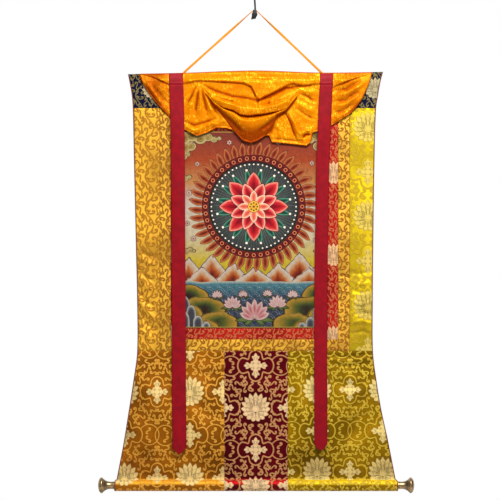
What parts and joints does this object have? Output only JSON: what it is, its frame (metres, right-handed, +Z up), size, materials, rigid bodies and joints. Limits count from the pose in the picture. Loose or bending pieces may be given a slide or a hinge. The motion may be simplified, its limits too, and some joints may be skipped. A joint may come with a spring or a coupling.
{
  "type": "thangka scroll painting on a hanging hook",
  "caption": "Scroll painting in a flared brocade mounting with a gathered silk veil, hanging ribbons and a hem roller with bell knobs, hung by its cord from a plain hook rod.",
  "frame": {"origin": "centre of the hook rod's flat top end", "axes": "+Z up, +X to the right as seen from the front, the painted front faces -Y"},
  "size_m": [0.8289, 0.0464, 1.3026],
  "materials": {
    "iron": "satin black",
    "cord": "satin",
    "navy_brocade": "woven silk with a beige pattern",
    "gold_brocade": "woven silk with a gold pattern",
    "yellow_brocade": "woven silk with a gold pattern",
    "red_brocade": "woven silk with a gold pattern",
    "painted_canvas": "matt paint on cotton",
    "ochre_brocade": "woven silk with a gold pattern",
    "maroon_brocade": "woven silk with a beige pattern",
    "piping": "satin",
    "orange_silk": "silk sheen",
    "crimson_silk": "silk sheen",
    "wood": "plain",
    "brass": "antique, worn bright on the edges"
  },
  "bodies": {
    "root": {"hanging_hook": "iron", "hanging_cord": "cord", "heading_band": "navy_brocade", "side_panel_left": "gold_brocade", "side_panel_right": "yellow_brocade", "gold_border_left": "gold_brocade", "gold_border_right": "gold_brocade", "gold_border_top": "gold_brocade", "gold_border_bottom": "gold_brocade", "red_border_left": "red_brocade", "red_border_right": "red_brocade", "red_border_top": "red_brocade", "red_border_bottom": "red_brocade", "painting": "painted_canvas", "skirt_left": "ochre_brocade", "skirt_centre": "maroon_brocade", "skirt_right": "yellow_brocade", "binding_left": "piping", "binding_right": "piping", "veil": "orange_silk", "ribbon_left": "crimson_silk", "ribbon_right": "crimson_silk", "roller": "wood", "knob_left": "brass", "knob_right": "brass"}
  },
  "joints": []
}
